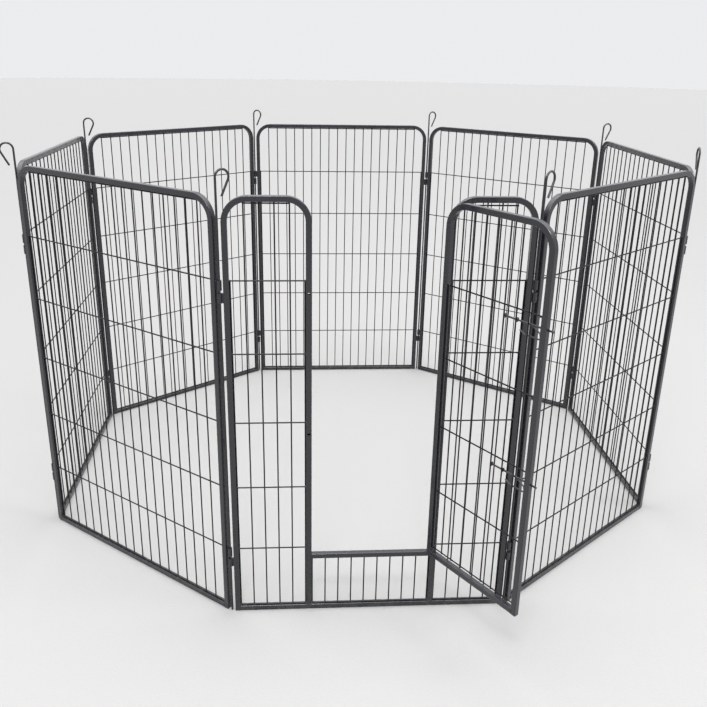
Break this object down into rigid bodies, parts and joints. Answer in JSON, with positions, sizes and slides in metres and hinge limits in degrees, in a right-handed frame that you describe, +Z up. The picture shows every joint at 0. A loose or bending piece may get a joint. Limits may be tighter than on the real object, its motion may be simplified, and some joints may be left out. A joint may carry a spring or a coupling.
{
  "type": "pet playpen",
  "caption": "Free-standing octagonal pen of arched tube frames with welded wire grids, joined by hooked drop-in rods, with a latched walk-through door in one panel.",
  "frame": {"origin": "middle of the underside of the gate panel's bottom rail, on the floor", "axes": "+X along the gate panel to its right-hand end seen from outside, +Y into the pen, +Z up"},
  "size_m": [1.7962, 1.7673, 1.069],
  "materials": {
    "frame_paint": "satin charcoal hammer-tone powder coat",
    "wire_paint": "satin charcoal powder coat",
    "rod_paint": "satin black paint"
  },
  "bodies": {
    "gate_panel": {"gate_left_arch": "frame_paint", "gate_right_arch": "frame_paint", "gate_bottom_rail": "frame_paint", "gate_sill_rail": "frame_paint", "gate_left_grid": "wire_paint", "gate_right_grid": "wire_paint", "gate_sill_wires": "wire_paint", "gate_hinge_pins": "wire_paint", "gate_lugs": "frame_paint"},
    "front_right_panel": {"front_right_frame": "frame_paint", "front_right_bottom_rail": "frame_paint", "front_right_grid": "wire_paint", "front_right_lugs": "frame_paint"},
    "right_panel": {"right_frame": "frame_paint", "right_bottom_rail": "frame_paint", "right_grid": "wire_paint", "right_lugs": "frame_paint"},
    "back_right_panel": {"back_right_frame": "frame_paint", "back_right_bottom_rail": "frame_paint", "back_right_grid": "wire_paint", "back_right_lugs": "frame_paint"},
    "back_panel": {"back_frame": "frame_paint", "back_bottom_rail": "frame_paint", "back_grid": "wire_paint", "back_lugs": "frame_paint"},
    "back_left_panel": {"back_left_frame": "frame_paint", "back_left_bottom_rail": "frame_paint", "back_left_grid": "wire_paint", "back_left_lugs": "frame_paint"},
    "left_panel": {"left_frame": "frame_paint", "left_bottom_rail": "frame_paint", "left_grid": "wire_paint", "left_lugs": "frame_paint"},
    "front_left_panel": {"front_left_frame": "frame_paint", "front_left_bottom_rail": "frame_paint", "front_left_grid": "wire_paint", "front_left_lugs": "frame_paint"},
    "door": {"door_frame": "frame_paint", "door_bottom_rail": "frame_paint", "door_grid": "wire_paint", "door_hinge_eyes": "wire_paint", "door_latch_eyes": "wire_paint"},
    "upper_bolt": {"latch_bolt_upper": "rod_paint"},
    "lower_bolt": {"latch_bolt_lower": "rod_paint"},
    "rod_1": {"connecting_rod_1": "rod_paint"},
    "rod_2": {"connecting_rod_2": "rod_paint"},
    "rod_3": {"connecting_rod_3": "rod_paint"},
    "rod_4": {"connecting_rod_4": "rod_paint"},
    "rod_5": {"connecting_rod_5": "rod_paint"},
    "rod_6": {"connecting_rod_6": "rod_paint"},
    "rod_7": {"connecting_rod_7": "rod_paint"},
    "rod_8": {"connecting_rod_8": "rod_paint"}
  },
  "joints": [
    {"name": "fold", "type": "hinge", "parent": "gate_panel", "child": "front_left_panel", "pos_m": [-0.3362, 0, 0], "axis": [0, 0, 1], "range_deg": [-38, 38]},
    {"name": "fold_left", "type": "hinge", "parent": "front_left_panel", "child": "left_panel", "pos_m": [-0.86606, 0.41397, 0], "axis": [0, 0, 1], "range_deg": [-38, 38]},
    {"name": "fold_back_left", "type": "hinge", "parent": "left_panel", "child": "back_left_panel", "pos_m": [-0.86606, 1.08637, 0], "axis": [0, 0, 1], "range_deg": [-38, 38]},
    {"name": "fold_back", "type": "hinge", "parent": "back_left_panel", "child": "back_panel", "pos_m": [-0.3362, 1.50034, 0], "axis": [0, 0, 1], "range_deg": [-38, 38]},
    {"name": "fold_front_right", "type": "hinge", "parent": "gate_panel", "child": "front_right_panel", "pos_m": [0.3362, 0, 0], "axis": [0, 0, 1], "range_deg": [-38, 38]},
    {"name": "fold_right", "type": "hinge", "parent": "front_right_panel", "child": "right_panel", "pos_m": [0.86606, 0.41397, 0], "axis": [0, 0, 1], "range_deg": [-38, 38]},
    {"name": "fold_back_right", "type": "hinge", "parent": "right_panel", "child": "back_right_panel", "pos_m": [0.86606, 1.08637, 0], "axis": [0, 0, 1], "range_deg": [-38, 38]},
    {"name": "door_hinge", "type": "hinge", "parent": "gate_panel", "child": "door", "pos_m": [0.13921, -0.005, 0], "axis": [0, 0, 1], "range_deg": [-124, 15]},
    {"name": "upper_bolt_slide", "type": "slide", "parent": "door", "child": "upper_bolt", "axis": [0.5592, -0.829, 0], "range_m": [-0.014, 0]},
    {"name": "lower_bolt_slide", "type": "slide", "parent": "door", "child": "lower_bolt", "axis": [0.5592, -0.829, 0], "range_m": [-0.014, 0]},
    {"name": "rod_1_lift", "type": "slide", "parent": "gate_panel", "child": "rod_1", "axis": [0, 0, 1], "range_m": [0, 0.86]},
    {"name": "rod_2_lift", "type": "slide", "parent": "gate_panel", "child": "rod_2", "axis": [0, 0, 1], "range_m": [0, 0.86]},
    {"name": "rod_3_lift", "type": "slide", "parent": "front_right_panel", "child": "rod_3", "axis": [0, 0, 1], "range_m": [0, 0.86]},
    {"name": "rod_4_lift", "type": "slide", "parent": "right_panel", "child": "rod_4", "axis": [0, 0, 1], "range_m": [0, 0.86]},
    {"name": "rod_5_lift", "type": "slide", "parent": "back_right_panel", "child": "rod_5", "axis": [0, 0, 1], "range_m": [0, 0.86]},
    {"name": "rod_6_lift", "type": "slide", "parent": "back_left_panel", "child": "rod_6", "axis": [0, 0, 1], "range_m": [0, 0.86]},
    {"name": "rod_7_lift", "type": "slide", "parent": "left_panel", "child": "rod_7", "axis": [0, 0, 1], "range_m": [0, 0.86]},
    {"name": "rod_8_lift", "type": "slide", "parent": "front_left_panel", "child": "rod_8", "axis": [0, 0, 1], "range_m": [0, 0.86]}
  ],
  "couplings": [
    {"joint": "fold_left", "follows": "fold", "ratio": -1},
    {"joint": "fold_back_left", "follows": "fold", "ratio": 1},
    {"joint": "fold_back", "follows": "fold", "ratio": -1},
    {"joint": "fold_front_right", "follows": "fold", "ratio": 1},
    {"joint": "fold_right", "follows": "fold", "ratio": -1},
    {"joint": "fold_back_right", "follows": "fold", "ratio": 1}
  ]
}
